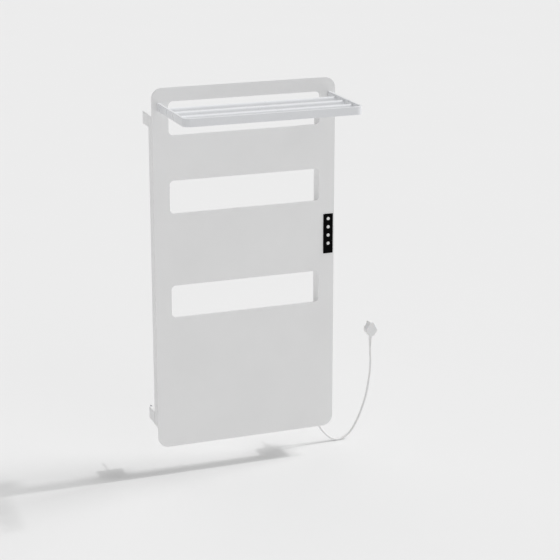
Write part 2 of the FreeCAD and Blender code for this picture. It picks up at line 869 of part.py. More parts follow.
def plug_pins():
    """Three flat pins: the upright earth pin at the top and two slanted ones below it."""
    seat = PLUG_Y + PLUG_DEPTH / 2
    middle = up(PLUG_BOTTOM + 22)
    pins = []
    for x, z, tilt in ((0, 10.3, 0), (-6.86, -3.96, -30), (6.86, -3.96, 30)):
        pin = box(-0.8, 0.8, 0, 18, -3.2, 3.2)
        pin = pin.makeChamfer(0.6, edges_in_plane(pin, 18))
        pin.rotate(Vector(0, 0, 0), BACKWARD, tilt)
        pin.translate(Vector(PLUG_X + x, seat, middle + z))
        pins.append(pin)
    return group(pins)


def supply_wires():
    """Live and neutral, from the gland through the bush and up to the terminal block."""
    level = up(BUSH_HEIGHT + 1.5)
    wires = []
    for x in (LIVE_X, NEUTRAL_X):
        route = [
            Vector(x, GLAND_Y, GLAND_END),
            Vector(x, GLAND_Y, level),
            Vector(x, SUPPLY_Y, level),
            Vector(x, SUPPLY_Y, TERMINAL_Z),
        ]
        wires.append(tube(route, SUPPLY_WIRE))
    return wires


def earth_tag():
    """A ring under the earth nut, with a barrel that holds the wire."""
    x, z = earth_place()
    ring = rod(9, Vector(x, PLATE_BACK, z), BACKWARD, 1)
    tongue = box(x - 2.2, x + 2.2, PLATE_BACK, PLATE_BACK + 1, z - 13, z)
    barrel = rod(4, Vector(x, PLATE_BACK + 2, z - 20), UPWARD, 8)
    return union([ring, tongue, barrel]).cut(rod(4.1, Vector(x, PLATE_BACK - 1, z), BACKWARD, 4))


def earth_wire():
    x, z = earth_place()
    level = up(BUSH_HEIGHT - 2.5)
    route = [
        Vector(GLAND_X, GLAND_Y - 4.6, GLAND_END),
        Vector(GLAND_X, GLAND_Y - 4.6, level),
        Vector(GLAND_X, SUPPLY_Y - 4.5, level),
        Vector(x, PLATE_BACK + 2, z - 32),
        Vector(x, PLATE_BACK + 2, z - 20),
    ]
    return tube(route, SUPPLY_WIRE)


# ---- sensors --------------------------------------------------------------------------------------------

SENSOR_Z = up(560)
CUTOUT_Z = up(350)


def temperature_sensor():
    return slab(202, 210, PLATE_BACK, PLATE_BACK + 8, SENSOR_Z - 6, SENSOR_Z + 6, 1.5)


def thermal_cutout():
    """A disc thermostat on the plate, with its two terminals at the back."""
    disc = rod(16, Vector(CONTROL_X, PLATE_BACK, CUTOUT_Z), BACKWARD, 5)
    cap = rod(12, Vector(CONTROL_X, PLATE_BACK, CUTOUT_Z), BACKWARD, 12)
    pieces = [disc, cap]
    for x in (CONTROL_X - 3, CONTROL_X + 3):
        pieces.append(box(x - 1.5, x + 1.5, PLATE_BACK + 8, PLATE_BACK + 10.5, CUTOUT_Z - 9, CUTOUT_Z))
    return union(pieces)


def sensor_leads():
    """From the sensor to the control housing, and from the cut-out to the power box."""
    reach = CONTROL_X - HOUSING_HALF - 210
    leads = [rod(1.6, Vector(210, PLATE_BACK + 6, SENSOR_Z), ACROSS, reach)]
    drop = CUTOUT_Z - 9 - up(BOX_TOP)
    for x in (CONTROL_X - 3, CONTROL_X + 3):
        leads.append(rod(1.8, Vector(x, PLATE_BACK + 9.3, up(BOX_TOP)), UPWARD, drop))
    return leads


# ---- shelf ----------------------------------------------------------------------------------------------

SHELF_FRONT = PLATE_FRONT - SHELF_REACH
SHELF_BOTTOM = SHELF_TOP - SHELF_BAR_HEIGHT


def shelf_block(inset, y_back):
    """The shelf's outline as a solid, with its two front corners rounded."""
    half = SHELF_WIDTH / 2 - inset
    block = box(-half, half, SHELF_FRONT + inset, y_back, up(SHELF_BOTTOM), up(SHELF_TOP))
    front = [e for e in edges_along(block, UPWARD) if e.BoundBox.YMax < SHELF_FRONT + inset + 1]
    return block.makeFillet(SHELF_CORNER - inset, front)


def shelf_frame():
    """A bent front bar with a straight arm welded to each end, against the plate's face."""
    frame = shelf_block(0, PLATE_FRONT).cut(shelf_block(SHELF_BAR, PLATE_FRONT + 1))
    rims = []
    for edge in frame.Edges:
        bounds = edge.BoundBox
        level = bounds.ZMax - bounds.ZMin < 1e-6
        off_plate = bounds.YMin < PLATE_FRONT - 1e-3
        if level and off_plate:
            rims.append(edge)
    frame = frame.makeFillet(0.8, rims)
    cuts = []
    for x, z in shelf_screw_places():
        cuts.append(rod(3.2, Vector(x, PLATE_FRONT + 1, z), -BACKWARD, 16))
    frame = frame.cut(cuts)
    weld = SHELF_FRONT + SHELF_CORNER
    low = up(SHELF_BOTTOM) - 1
    high = up(SHELF_TOP) + 1
    lengths = [
        box(-SHELF_WIDTH, 0, weld, 0, low, high),
        box(0, SHELF_WIDTH, weld, 0, low, high),
        box(-SHELF_WIDTH, SHELF_WIDTH, SHELF_FRONT - 1, weld, low, high),
    ]
    return group([frame.common(length).Solids[0] for length in lengths])


def shelf_rail(reach):
    """A round rail between the two arms."""
    half = SHELF_WIDTH / 2 - SHELF_BAR
    z = up((SHELF_TOP + SHELF_BOTTOM) / 2)
    return rod(RAIL_DIAMETER, Vector(-half, PLATE_FRONT - reach, z), ACROSS, 2 * half)


def shelf_backing_strips():
    """A strip behind the plate under each pair of shelf screws."""
    strips = []
    middle = up((SHELF_TOP + SHELF_BOTTOM) / 2)
    for side in (-1, 1):
        x = side * (SHELF_WIDTH - SHELF_BAR) / 2
        back = PLATE_BACK + SHELF_STRIP
        strip = slab(x - 7, x + 7, PLATE_BACK, back, middle - 13, middle + 13, 3)
        for hole_x, z in shelf_screw_places():
            strip = strip.cut(rod(3.4, Vector(hole_x, PLATE_BACK - 1, z), BACKWARD, 5))
        strips.append(strip)
    return group(strips)


def shelf_screws():
    seat = PLATE_BACK + SHELF_STRIP
    return group([pan_screw(x, z, seat, 3.0, 18, 6) for x, z in shelf_screw_places()])


# ---- wall brackets ----------------------------------------------------------------------------------------


def locking_screw_place(x, z):
    """Underside of the bracket, near the wall and its outer side."""
    return Vector(math.copysign(CASING_SIDE - 7, x), -8, z - BRACKET_HEIGHT / 2)


def wall_bracket(x, z):
    """A hollow block from the casing to the wall, open there. The cord enters the lower right one."""
    half = BRACKET_WIDTH / 2
    tall = BRACKET_HEIGHT / 2
    outer = slab(x - half, x + half, CASING_BACK, 0, z - tall, z + tall, 2.0)
    inner = slab(
        x - half + BRACKET_WALL,
        x + half - BRACKET_WALL,
        CASING_BACK + BRACKET_BACK,
        1,
        z - tall + BRACKET_WALL,
        z + tall - BRACKET_WALL,
        1.0,
    )
    cuts = [inner]
    for screw_x, screw_z in bracket_screw_places():
        cuts.append(rod(4.5, Vector(screw_x, CASING_BACK - 1, screw_z), BACKWARD, 6))
    cuts.append(rod(4.1, locking_screw_place(x, z) - UPWARD, UPWARD, BRACKET_WALL + 2))
    if x > 0 and z < 0:
        foot = Vector(GLAND_X, GLAND_Y, z - tall - 1)
        cuts.append(rod(GLAND_SIZE + 0.2, foot, UPWARD, BRACKET_WALL + 2))
        cuts.append(rod(GLAND_SIZE + 0.2, bush_place() - BACKWARD, BACKWARD, BRACKET_BACK + 2))
    return outer.cut(cuts)


def wall_plates():
    """A channel of steel at each fixing, screwed to the wall inside the bracket's open end."""
    plates = []
    half = BRACKET_WIDTH / 2 - BRACKET_WALL - WALL_PLATE_GAP
    tall = BRACKET_HEIGHT / 2 - BRACKET_WALL - WALL_PLATE_GAP
    inside = tall - WALL_PLATE_FLANGE
    front = -WALL_PLATE_DEPTH
    for (x, z), (hole_x, hole_z) in zip(bracket_centres(), fixing_places()):
        block = box(x - half, x + half, front, 0, z - tall, z + tall)
        gap = box(x - half - 1, x + half + 1, front - 1, -WALL_PLATE, z - inside, z + inside)
        hole = rod(FIXING_HOLE, Vector(hole_x, -WALL_PLATE - 1, hole_z), BACKWARD, WALL_PLATE + 2)
        plates.append(block.cut([gap, hole]))
    return group(plates)


def wall_screws():
    """Pan-head wood screws: a thin neck in the wall plate, then the thread's outline in the wall."""
    point = 7.0
    thread = WALL_SCREW_LENGTH - WALL_PLATE - point
    screws = []
    for x, z in fixing_places():
        head = pan_screw(x, z, 0, WALL_SCREW_NECK, 1, 9.5)
        head.rotate(Vector(x, 0, z), UPWARD, 180)
        head.translate(Vector(0, -WALL_PLATE, 0))
        wall = Vector(x, 0, z)
        neck = rod(WALL_SCREW_NECK, wall - BACKWARD * WALL_PLATE, BACKWARD, WALL_PLATE)
        shank = rod(WALL_SCREW, wall, BACKWARD, thread)
        tip = cone(WALL_SCREW, 0.8, wall + BACKWARD * thread, BACKWARD, point)
        screws.append(union([head, neck, shank, tip]))
    return group(screws)


def locking_screws():
    """A socket set screw in each bracket's underside, up against the wall plate's flange."""
    screws = []
    reach = BRACKET_WALL + WALL_PLATE_GAP
    for x, z in bracket_centres():
        face = locking_screw_place(x, z)
        screw = rod(4.0, face - UPWARD, UPWARD, reach + 1)
        socket = hexagon(2.0, face - UPWARD * 3, UPWARD, 3.8)
        screws.append(screw.cut(socket))
    return group(screws)


# ---- all pieces --------------------------------------------------------------------------------------------


def pieces():
    made = {
        "front_plate": front_plate(),
        "plate_studs": plate_studs(),
        "spacer_posts": spacer_posts(),
        "back_casing": back_casing(),
        "post_screws": post_screws(),
        "slot_liner_lower": slot_liner(LOWER_SLOT),
        "slot_liner_middle": slot_liner(MIDDLE_SLOT),
        "heat_spreader_upper": heat_spreader(772, 855),
        "heat_spreader_middle": heat_spreader(484, 638),
        "heat_spreader_lower": heat_spreader(72, 349),
        "heating_cable_upper": heating_cable(UPPER_ROWS),
        "heating_cable_middle": heating_cable(MIDDLE_ROWS),
        "heating_cable_lower": heating_cable(LOWER_ROWS),
        "insulation_pad_upper": insulation_pad(768, 855),
        "insulation_pad_middle": insulation_pad(479, 643),
        "insulation_pad_lower": insulation_pad(68, 354),
        "heater_leads": heater_leads(),
        "control_fascia": control_fascia(),
        "control_housing": control_housing(),
        "control_board": control_board(),
        "key_switches": key_switches(),
        "control_chips": control_chips(),
        "control_cover": control_cover(),
        "control_screws": control_screws(),
        "power_box": power_box(),
        "power_box_lid": power_box_lid(),
        "power_board": power_board(),
        "transformer": transformer(),
        "power_components": power_components(),
        "terminal_block": terminal_block(),
        "stud_nuts": stud_nuts(),
        "cable_gland": cable_gland(),
        "gland_nut": gland_nut(),
        "cord_boot": cord_boot(),
        "power_cord": power_cord(),
        "plug_sleeve": plug_sleeve(),
        "plug_body": plug_body(),
        "plug_pins": plug_pins(),
        "mains_wires": group(supply_wires() + [earth_wire()]),
        "earth_tag": earth_tag(),
        "temperature_sensor": temperature_sensor(),
        "thermal_cutout": thermal_cutout(),
        "signal_cables": group([control_cable()] + sensor_leads()),
        "shelf_frame": shelf_frame(),
        "shelf_backing_strips": shelf_backing_strips(),
        "shelf_screws": shelf_screws(),
        "wall_plates": wall_plates(),
        "wall_screws": wall_screws(),
        "locking_screws": locking_screws(),
    }
    for number, z in enumerate(button_heights(), start=1):
        made[f"button_{number}"] = button(z)
    for number, reach in enumerate(RAIL_REACHES, start=1):
        made[f"shelf_rail_{number}"] = shelf_rail(reach)
    for x, z in bracket_centres():
        level = "top" if z > 0 else "bottom"
        side = "left" if x < 0 else "right"
        made[f"bracket_{level}_{side}"] = wall_bracket(x, z)
    return made


os.makedirs("parts", exist_ok=True)
for name, piece in pieces().items():
    piece.exportStep(f"parts/{name}.step")
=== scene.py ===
import json
import math

import bmesh
import bpy
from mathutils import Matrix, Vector, noise


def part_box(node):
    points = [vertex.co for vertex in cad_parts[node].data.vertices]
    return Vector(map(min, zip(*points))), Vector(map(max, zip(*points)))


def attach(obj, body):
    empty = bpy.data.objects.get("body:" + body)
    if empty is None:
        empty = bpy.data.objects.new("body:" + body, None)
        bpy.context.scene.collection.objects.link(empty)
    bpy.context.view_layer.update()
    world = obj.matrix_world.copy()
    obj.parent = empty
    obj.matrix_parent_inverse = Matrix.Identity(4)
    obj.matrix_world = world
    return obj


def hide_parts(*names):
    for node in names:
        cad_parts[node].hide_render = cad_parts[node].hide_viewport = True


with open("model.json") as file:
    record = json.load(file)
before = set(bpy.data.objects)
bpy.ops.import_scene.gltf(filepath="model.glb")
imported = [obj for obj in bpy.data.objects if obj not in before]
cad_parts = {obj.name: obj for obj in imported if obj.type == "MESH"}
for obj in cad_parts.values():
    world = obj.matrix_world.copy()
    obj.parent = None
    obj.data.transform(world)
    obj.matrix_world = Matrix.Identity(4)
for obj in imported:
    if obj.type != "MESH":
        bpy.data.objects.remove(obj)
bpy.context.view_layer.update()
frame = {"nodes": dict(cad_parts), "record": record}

# A wall-mounted electric towel warmer: looks, cord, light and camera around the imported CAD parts.
# Metres throughout, in the CAD frame: +Z up, the plate faces -Y, the wall is the plane Y = 0.

ROOT = "root"
MM = 0.001


def add_object(name, data):
    made = bpy.data.objects.new(name, data)
    bpy.context.scene.collection.objects.link(made)
    return made


def direction(azimuth, elevation):
    """A unit vector at that azimuth from +X towards +Y and that elevation, in degrees."""
    turn = math.radians(azimuth)
    rise = math.radians(elevation)
    level = math.cos(rise)
    return Vector((math.cos(turn) * level, math.sin(turn) * level, math.sin(rise)))


# ---- camera ------------------------------------------------------------------------------------

CAMERA_TURN = -20.575
CAMERA_ELEVATION = 16.601
CAMERA_DISTANCE = 4.7483
CAMERA_TARGET = Vector((0.0986, -0.086, -0.0474))
CAMERA_LENS = 111.13
CAMERA_SENSOR = 36.0
CAMERA_REACH = 200.0


def make_camera():
    """Looks at a point on the plate from the front left, a little from above. Its turn is counted
    from straight in front, where the azimuth is -90 degrees."""
    back = direction(CAMERA_TURN - 90.0, CAMERA_ELEVATION)
    data = bpy.data.cameras.new("camera")
    data.lens = CAMERA_LENS
    data.sensor_width = CAMERA_SENSOR
    data.clip_end = CAMERA_REACH
    camera = add_object("camera", data)
    camera.location = CAMERA_TARGET + back * CAMERA_DISTANCE
    camera.rotation_euler = (math.radians(90.0 - CAMERA_ELEVATION), 0.0, math.radians(CAMERA_TURN))
    bpy.context.scene.camera = camera


make_camera()

# ---- cord --------------------------------------------------------------------------------------

CORD_DIAMETER = 0.0064
CORD_STEPS = 12
CORD_ROUND_STEPS = 6
# The cord's route, as the CAD has it: boot's tip, down to the floor, up into the plug's sleeve.
CORD_ROUTE = [
    (0.226, -0.0265, -0.465),
    (0.226, -0.0265, -0.484),
    (0.237, -0.019, -0.508),
    (0.258, -0.016, -0.542),
    (0.284, -0.015, -0.567),
    (0.313, -0.015, -0.574),
    (0.343, -0.014, -0.558),
    (0.366, -0.012, -0.523),
    (0.382, -0.011, -0.487),
    (0.3945, -0.010, -0.449),
    (0.4015, -0.010, -0.411),
    (0.406, -0.010, -0.375),
    (0.4075, -0.010, -0.346),
    (0.4055, -0.010, -0.318),
    (0.4055, -0.010, -0.297),
]


def nurbs_cord():
    """A round cord on one NURBS line. A curve's bounding box counts each control point's radius,
    so the cord's radius is set at each point, and the bevel's depth is 1."""
    curve = bpy.data.curves.new("mains_cord", "CURVE")
    curve.dimensions = "3D"
    spline = curve.splines.new("NURBS")
    spline.points.add(len(CORD_ROUTE) - 1)
    for point, place in zip(spline.points, CORD_ROUTE):
        point.co = (*place, 1.0)
        point.radius = CORD_DIAMETER / 2
    spline.order_u = 3
    spline.use_endpoint_u = True
    curve.resolution_u = CORD_STEPS
    curve.bevel_depth = 1.0
    curve.bevel_resolution = CORD_ROUND_STEPS
    curve.use_fill_caps = True
    return add_object("mains_cord", curve)


cord = nurbs_cord()
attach(cord, ROOT)
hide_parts("power_cord")

# ---- materials ---------------------------------------------------------------------------------


NOISE_LOW = 0.25
NOISE_HIGH = 0.75


class Shader:
    """A node-based material, built up one node at a time. Textures use the frame's coordinates."""

    def __init__(self, name):
        self.material = bpy.data.materials.new(name)
        self.material.use_nodes = True
        self.tree = self.material.node_tree
        self.nodes = self.tree.nodes
        self.surface = self.nodes["Principled BSDF"]
        self.place = self.nodes.new("ShaderNodeTexCoord").outputs["Object"]

    def link(self, source, target):
        self.tree.links.new(source, target)

    def set(self, **values):
        """Plain values for the surface's inputs, with _ for a space in the name."""
        for name, value in values.items():
            self.surface.inputs[name.replace("_", " ")].default_value = value

    def stretched(self, scale):
        mapping = self.nodes.new("ShaderNodeMapping")
        mapping.inputs["Scale"].default_value = scale
        self.link(self.place, mapping.inputs["Vector"])
        return mapping.outputs["Vector"]

    def noise(self, wavelength, detail=2.0, stretch=None, roughness=0.5):
        """Noise with features of about that many metres."""
        node = self.nodes.new("ShaderNodeTexNoise")
        node.inputs["Scale"].default_value = 1.0 / wavelength
        node.inputs["Detail"].default_value = detail
        node.inputs["Roughness"].default_value = roughness
        self.link(self.stretched(stretch) if stretch else self.place, node.inputs["Vector"])
        return node.outputs["Fac"]

    def cells(self, size, feature="F1", output="Distance", stretch=None):
        node = self.nodes.new("ShaderNodeTexVoronoi")
        node.feature = feature
        node.inputs["Scale"].default_value = 1.0 / size
        self.link(self.stretched(stretch) if stretch else self.place, node.inputs["Vector"])
        return node.outputs[output]

    def math(self, operation, first, second):
        node = self.nodes.new("ShaderNodeMath")
        node.operation = operation
        for socket, value in zip(node.inputs, (first, second)):
            if isinstance(value, (int, float)):
                socket.default_value = value
            else:
                self.link(value, socket)
        return node.outputs[0]

    def spread(self, value, low, high):
        """A factor from NOISE_LOW to NOISE_HIGH, where noise lies, mapped to low to high."""
        node = self.nodes.new("ShaderNodeMapRange")
        node.inputs["From Min"].default_value = NOISE_LOW
        node.inputs["From Max"].default_value = NOISE_HIGH
        node.inputs["To Min"].default_value = low
        node.inputs["To Max"].default_value = high
        self.link(value, node.inputs["Value"])
        return node.outputs["Result"]

    def ramp(self, value, stops):
        """Colours along a factor: stops are (position, (r, g, b))."""
        node = self.nodes.new("ShaderNodeValToRGB")
        elements = node.color_ramp.elements
        for element, (position, colour) in zip(elements, stops):
            element.position = position
            element.color = (*colour, 1.0)
        for position, colour in stops[2:]:
            elements.new(position).color = (*colour, 1.0)
        self.link(value, node.inputs["Fac"])
        return node.outputs["Color"]

    def mix(self, factor, first, second):
        """A colour between two, each a socket or (r, g, b)."""
        node = self.nodes.new("ShaderNodeMix")
        node.data_type = "RGBA"
        sockets = (node.inputs[0], node.inputs[6], node.inputs[7])
        for socket, value in zip(sockets, (factor, first, second)):
            if isinstance(value, tuple):
                socket.default_value = (*value, 1.0)
            elif isinstance(value, (int, float)):
                socket.default_value = value
            else:
                self.link(value, socket)
        return node.outputs[2]

    def bump(self, height, distance, strength=1.0):
        """Relief of about that many metres, on top of any set before."""
        node = self.nodes.new("ShaderNodeBump")
        node.inputs["Distance"].default_value = distance
        node.inputs["Strength"].default_value = strength
        self.link(height, node.inputs["Height"])
        before = self.surface.inputs["Normal"].links
        if before:
            self.link(before[0].from_socket, node.inputs["Normal"])
        self.link(node.outputs["Normal"], self.surface.inputs["Normal"])

    def two_tone(self, value, low, first, high, second):
        """The surface's colour, from one at the factor's low mark to another at its high mark."""
        self.colour(self.ramp(value, [(low, first), (high, second)]))

    def colour(self, source):
        self.link(source, self.surface.inputs["Base Color"])

    def roughness(self, source):
        self.link(source, self.surface.inputs["Roughness"])


def shade(colour, factor):
    return tuple(min(1.0, channel * factor) for channel in colour)


def powder_coat(name, colour, grain=0.0016, relief=0.00003, gloss=0.42):
    """Baked powder paint: orange peel, fine grit, and faint cloudy patches in tone and gloss."""
    made = Shader(name)
    cloud = made.noise(0.12, 3.0)
    fine = made.noise(grain, 2.0)
    grit = made.noise(grain / 5, 1.0)
    made.two_tone(cloud, 0.3, shade(colour, 0.985), 0.7, shade(colour, 1.01))
    made.roughness(made.spread(made.noise(0.03, 4.0), gloss - 0.05, gloss + 0.05))
    made.bump(fine, relief)
    made.bump(grit, relief / 5)
    made.set(Specular_IOR_Level=0.45, Coat_Weight=0.12, Coat_Roughness=0.25)
    return made.material


def zinc_steel(name, colour):
    """Bright zinc plate: cloudy spangle with fine drawn lines."""
    made = Shader(name)
    spangle = made.cells(0.004, output="Color")
    patch = made.nodes.new("ShaderNodeSeparateColor")
    made.link(spangle, patch.inputs["Color"])
    tone = made.math("ADD", made.math("MULTIPLY", patch.outputs[0], 0.5), made.noise(0.02, 3.0))
    made.two_tone(tone, 0.35, shade(colour, 0.82), 0.95, shade(colour, 1.15))
    made.roughness(made.spread(made.noise(0.002, 4.0), 0.22, 0.44))
    lines = made.noise(0.0012, 3.0, stretch=(1.0, 12.0, 12.0))
    made.bump(lines, 0.000008)
    made.set(Metallic=1.0)
    return made.material


def dark_steel(name):
    """Black-oxide steel: nearly black, oily, with worn lighter specks."""
    made = Shader(name)
    made.two_tone(made.noise(0.0008, 4.0), 0.45, (0.012, 0.012, 0.013), 0.8, (0.06, 0.058, 0.055))
    made.roughness(made.spread(made.noise(0.0005, 2.0), 0.3, 0.5))
    made.bump(made.noise(0.0004, 2.0), 0.00001)
    made.set(Metallic=0.85)
    return made.material


def gloss_black(name):
    """Back-painted acrylic: deep black under a clear face, with faint wipe marks and dust."""
    made = Shader(name)
    dust = made.math("GREATER_THAN", made.noise(0.0007, 0.0), 0.78)
    made.colour(made.mix(dust, (0.0016, 0.0016, 0.0018), (0.02, 0.02, 0.021)))
    wipes = made.noise(0.006, 3.0, stretch=(1.0, 1.0, 0.2))
    made.roughness(made.spread(wipes, 0.05, 0.12))
    made.bump(made.noise(0.01, 1.0), 0.000006)
    made.set(Specular_IOR_Level=0.03)
    return made.material


def moulded(name, colour, relief=0.000015, gloss=0.45):
    """Injection-moulded plastic: spark-eroded grain, slight mottling, and faint flow lines."""
    made = Shader(name)
    flow = made.noise(0.012, 3.0, stretch=(1.0, 1.0, 0.25))
    made.two_tone(flow, 0.3, shade(colour, 0.97), 0.7, shade(colour, 1.03))
    made.roughness(made.spread(made.noise(0.004, 3.0), gloss - 0.06, gloss + 0.06))
    made.bump(made.noise(0.0005, 2.0), relief)
    return made.material


def soft_pvc(name, colour):
    """Soft cord plastic: satin, with fine pulled streaks along it, and painted shade that darkens the
    colour in the streaks' dips.
    """
    made = Shader(name)
    streak = made.noise(0.002, 3.0, stretch=(3.0, 3.0, 0.35))
    # Painted shade: the streak noise that dents the surface also darkens its colour where it dips.
    made.two_tone(streak, 0.3, shade(colour, 0.95), 0.7, shade(colour, 1.02))
    made.roughness(made.spread(made.noise(0.003, 4.0), 0.36, 0.5))
    made.bump(streak, 0.00004)
    made.bump(made.noise(0.0004, 2.0), 0.000012)
    made.set(Subsurface_Weight=0.12, Subsurface_Scale=0.002, Specular_IOR_Level=0.4)
    made.surface.inputs["Subsurface Radius"].default_value = (1.0, 0.9, 0.8)
    return made.material


def nickel(name):
    """Nickel-plated brass: bright, with lengthwise draw lines and a warm cast in patches."""
    made = Shader(name)
    made.two_tone(made.noise(0.004, 3.0), 0.35, (0.60, 0.57, 0.50), 0.7, (0.72, 0.71, 0.68))
    draw = made.noise(0.0004, 2.0, stretch=(1.0, 0.08, 1.0))
    made.roughness(made.spread(draw, 0.16, 0.32))
    made.bump(draw, 0.00001)
    made.set(Metallic=1.0)
    return made.material


def circuit_board(name):
    """Green solder resist over copper tracks, with a fine glass weave under it."""
    made = Shader(name)
    tracks = made.nodes.new("ShaderNodeTexBrick")
    tracks.inputs["Scale"].default_value = 260.0
    tracks.inputs["Mortar Size"].default_value = 0.05
    tracks.offset = 0.37
    mapping = made.nodes.new("ShaderNodeMapping")
    mapping.inputs["Rotation"].default_value = (math.pi / 2, 0.0, 0.0)
    made.link(made.place, mapping.inputs["Vector"])
    made.link(mapping.outputs["Vector"], tracks.inputs["Vector"])
    tone = made.mix(tracks.outputs["Fac"], (0.010, 0.085, 0.030), (0.045, 0.21, 0.075))
    weave = made.math("MULTIPLY", made.noise(0.0006, 1.0), 0.3)
    made.colour(made.mix(weave, tone, (0.02, 0.12, 0.04)))
    made.roughness(made.spread(made.noise(0.002, 2.0), 0.22, 0.34))
    made.bump(tracks.outputs["Fac"], 0.00003)
    return made.material


def foil(name):
    """Rolled aluminium foil, bright and lightly crumpled."""
    made = Shader(name)
    crease = made.cells(0.022, feature="DISTANCE_TO_EDGE")
    made.two_tone(made.noise(0.02, 3.0), 0.3, (0.70, 0.71, 0.72), 0.7, (0.86, 0.86, 0.87))
    made.roughness(made.spread(made.noise(0.01, 4.0, stretch=(0.1, 1.0, 1.0)), 0.18, 0.36))
    made.bump(crease, 0.0006, 0.5)
    made.bump(made.noise(0.004, 4.0), 0.0002)
    made.set(Metallic=1.0)
    return made.material


def felt(name):
    """Needled glass felt: pale, fibrous and uneven, with small dents in rows where it was needled."""
    made = Shader(name)
    fibre = made.noise(0.0012, 6.0, stretch=(1.0, 1.0, 0.35), roughness=0.75)
    dents = made.cells(0.006)
    # The tone is partly the felt's own uneven fibre colour and partly painted shade: it is darker in
    # the needled dents and where the fibre relief dips.
    tone = made.math("MULTIPLY", fibre, made.spread(dents, 0.85, 1.1))
    made.two_tone(tone, 0.25, (0.50, 0.47, 0.40), 0.7, (0.80, 0.78, 0.72))
    made.bump(fibre, 0.0008, 0.8)
    made.bump(dents, 0.0006, 0.4)
    made.set(Roughness=0.95, Sheen_Weight=0.4)
    return made.material


def silicone(name, colour):
    """Glass braid over silicone: a fine crossed weave, dull and a little dusty."""
    made = Shader(name)
    weave = made.cells(0.0009, stretch=(0.5, 1.0, 1.0))
    made.two_tone(weave, 0.15, shade(colour, 1.15), 0.8, shade(colour, 0.6))
    made.bump(weave, 0.0001)
    made.set(Roughness=0.7, Sheen_Weight=0.2)
    return made.material


def split_at(made, axis, limit):
    """1 past that place along an axis, 0 before it."""
    parts = made.nodes.new("ShaderNodeSeparateXYZ")
    made.link(made.place, parts.inputs[0])
    return made.math("GREATER_THAN", parts.outputs[axis], limit)


def finish_wire(made, colour):
    made.colour(colour)
    made.roughness(made.spread(made.noise(0.002, 3.0), 0.32, 0.46))
    made.bump(made.noise(0.0008, 2.0), 0.00002)
    return made.material


# Where one coloured wire gives way to the next, across and in depth.
WIRE_LEFT_EDGE = 1.3 * MM
WIRE_RIGHT_EDGE = 4.0 * MM
WIRE_PAIR_DEPTH = -68.4 * MM


def mains_wire(name):
    """Brown and blue side by side, and the earth wire between and before them, green and yellow."""
    made = Shader(name)
    low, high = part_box("cable_gland")
    centre = (low.x + high.x) / 2
    right = split_at(made, 0, centre)
    pair = made.mix(right, (0.20, 0.075, 0.03), (0.02, 0.09, 0.42))
    bands = made.nodes.new("ShaderNodeTexWave")
    bands.inputs["Scale"].default_value = 60.0
    bands.bands_direction = "DIAGONAL"
    made.link(made.place, bands.inputs["Vector"])
    striped = made.ramp(bands.outputs["Fac"], [(0.45, (0.05, 0.30, 0.05)), (0.55, (0.75, 0.62, 0.04))])
    left_wire = made.math("SUBTRACT", 1.0, split_at(made, 0, centre - WIRE_LEFT_EDGE))
    past_left = split_at(made, 0, centre + WIRE_LEFT_EDGE)
    past_right = split_at(made, 0, centre + WIRE_RIGHT_EDGE)
    right_wire = made.math("SUBTRACT", past_left, past_right)
    behind = split_at(made, 1, WIRE_PAIR_DEPTH)
    of_pair = made.math("MULTIPLY", made.math("ADD", left_wire, right_wire), behind)
    return finish_wire(made, made.mix(of_pair, striped, pair))


def signal_wire(name):
    """Grey control cable and black sensor leads, which are the thinner ones."""
    made = Shader(name)
    streak = made.noise(0.003, 3.0, stretch=(1.0, 1.0, 0.2))
    return finish_wire(made, made.ramp(streak, [(0.3, (0.20, 0.20, 0.21)), (0.7, (0.30, 0.30, 0.31))]))


def tinned(name):
    """Tinned brass and pressed aluminium: dull silver with small stains."""
    made = Shader(name)
    made.two_tone(made.noise(0.002, 4.0), 0.35, (0.48, 0.46, 0.41), 0.65, (0.68, 0.66, 0.60))
    made.roughness(made.spread(made.noise(0.001, 3.0), 0.28, 0.48))
    made.bump(made.noise(0.0007, 2.0), 0.00001)
    made.set(Metallic=1.0)
    return made.material


WHITE = (0.89, 0.89, 0.89)
SHELF_WHITE = (0.815, 0.825, 0.845)
CORD_WHITE = (0.86, 0.86, 0.86)

MATERIALS = {
    "white_paint": powder_coat("white_powder_coat", WHITE),
    "shelf_paint": powder_coat("shelf_enamel", SHELF_WHITE, grain=0.0022, relief=0.00002, gloss=0.3),
    "zinc_steel": zinc_steel("bright_zinc", (0.55, 0.56, 0.58)),
    "black_oxide_steel": dark_steel("black_oxide"),
    "gloss_black": gloss_black("black_acrylic"),
    "white_plastic": moulded("button_plastic", (0.82, 0.82, 0.81), relief=0.000008, gloss=0.3),
    "grey_plastic": moulded("housing_plastic", (0.10, 0.105, 0.11)),
    "circuit_board": circuit_board("solder_resist"),
    "black_plastic": moulded("component_plastic", (0.022, 0.022, 0.023), gloss=0.4),
    "green_plastic": moulded("terminal_plastic", (0.03, 0.22, 0.07)),
    "plated_metal": tinned("tinned_metal"),
    "foil": foil("aluminium_foil"),
    "silicone": silicone("braided_silicone", (0.42, 0.07, 0.04)),
    "felt": felt("glass_felt"),
    "gland_nylon": moulded("gland_nylon", (0.62, 0.62, 0.61), gloss=0.38),
    "cord_sheath": soft_pvc("white_pvc", CORD_WHITE),
    "pin_metal": nickel("nickel_plate"),
}
NODE_MATERIALS = {
    "mains_wires": mains_wire("mains_wire_colours"),
    "signal_cables": signal_wire("signal_wire_grey"),
}


def slot_of(node):
    """The material slot that the record gives a CAD node."""
    return next(part["material_slot"] for part in frame["record"]["subparts"] if part["node"] == node)


def paint_nodes():
    """Each CAD node gets the material of its slot in the record."""
    for part in frame["record"]["subparts"]:
        node = part["node"]
        material = NODE_MATERIALS.get(node) or MATERIALS[part["material_slot"]]
        shown = frame["nodes"][node]
        if not shown.data.materials:
            shown.data.materials.append(material)
        for material_slot in shown.material_slots:
            material_slot.material = material


paint_nodes()
cord.data.materials.append(MATERIALS["cord_sheath"])

# ---- felt pads ---------------------------------------------------------------------------------

